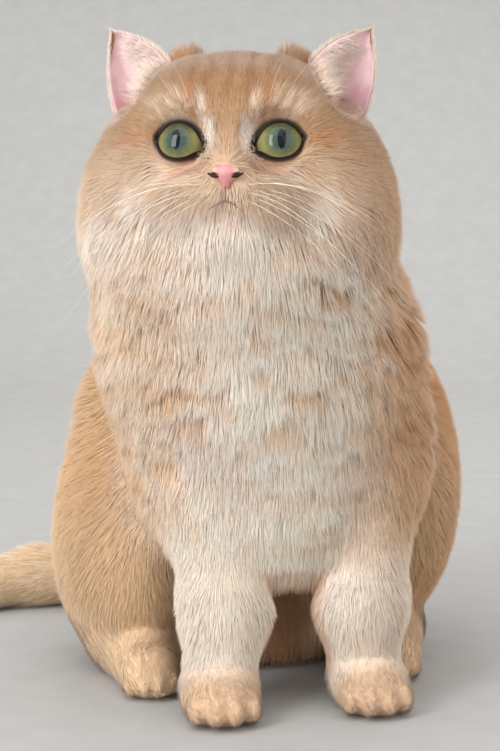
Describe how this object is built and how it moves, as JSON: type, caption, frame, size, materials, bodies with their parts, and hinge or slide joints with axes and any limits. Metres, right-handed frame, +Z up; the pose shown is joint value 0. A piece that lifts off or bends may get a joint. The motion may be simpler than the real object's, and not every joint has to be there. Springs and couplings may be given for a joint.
{
  "type": "sitting golden cat with upright ears",
  "caption": "Still, life-size model of a plush golden cat that sits upright, head turned and lifted, tail laid on the floor to one side.",
  "frame": {"origin": "centre of the model's footprint box, on the floor that the cat sits on", "axes": "+Z up; the cat looks along -Y; its own left side is +X, and its tail lies towards -X"},
  "size_m": [0.3693, 0.3726, 0.3732],
  "materials": {
    "golden_coat": "dense plush fur, warm golden with darker ticking",
    "cream_coat": "longer plush fur, cream with pale apricot ticking",
    "ear_skin": "thin pink skin with sparse pale hair",
    "nose_leather": "damp pink nose leather",
    "eye": "clear polished eye with a grey-green iris"
  },
  "bodies": {
    "root": {"head": "golden_coat", "neck": "cream_coat", "chest": "cream_coat", "torso": "golden_coat", "nose": "nose_leather", "ear_left": "ear_skin", "ear_right": "ear_skin", "eye_left": "eye", "eye_right": "eye", "thigh_left": "golden_coat", "thigh_right": "golden_coat", "hindfoot_left": "golden_coat", "hindfoot_right": "golden_coat", "foreleg_left": "cream_coat", "foreleg_right": "cream_coat", "forefoot_left": "golden_coat", "forefoot_right": "golden_coat", "tail_base": "golden_coat", "tail_middle": "golden_coat", "tail_tip": "golden_coat"}
  },
  "joints": []
}
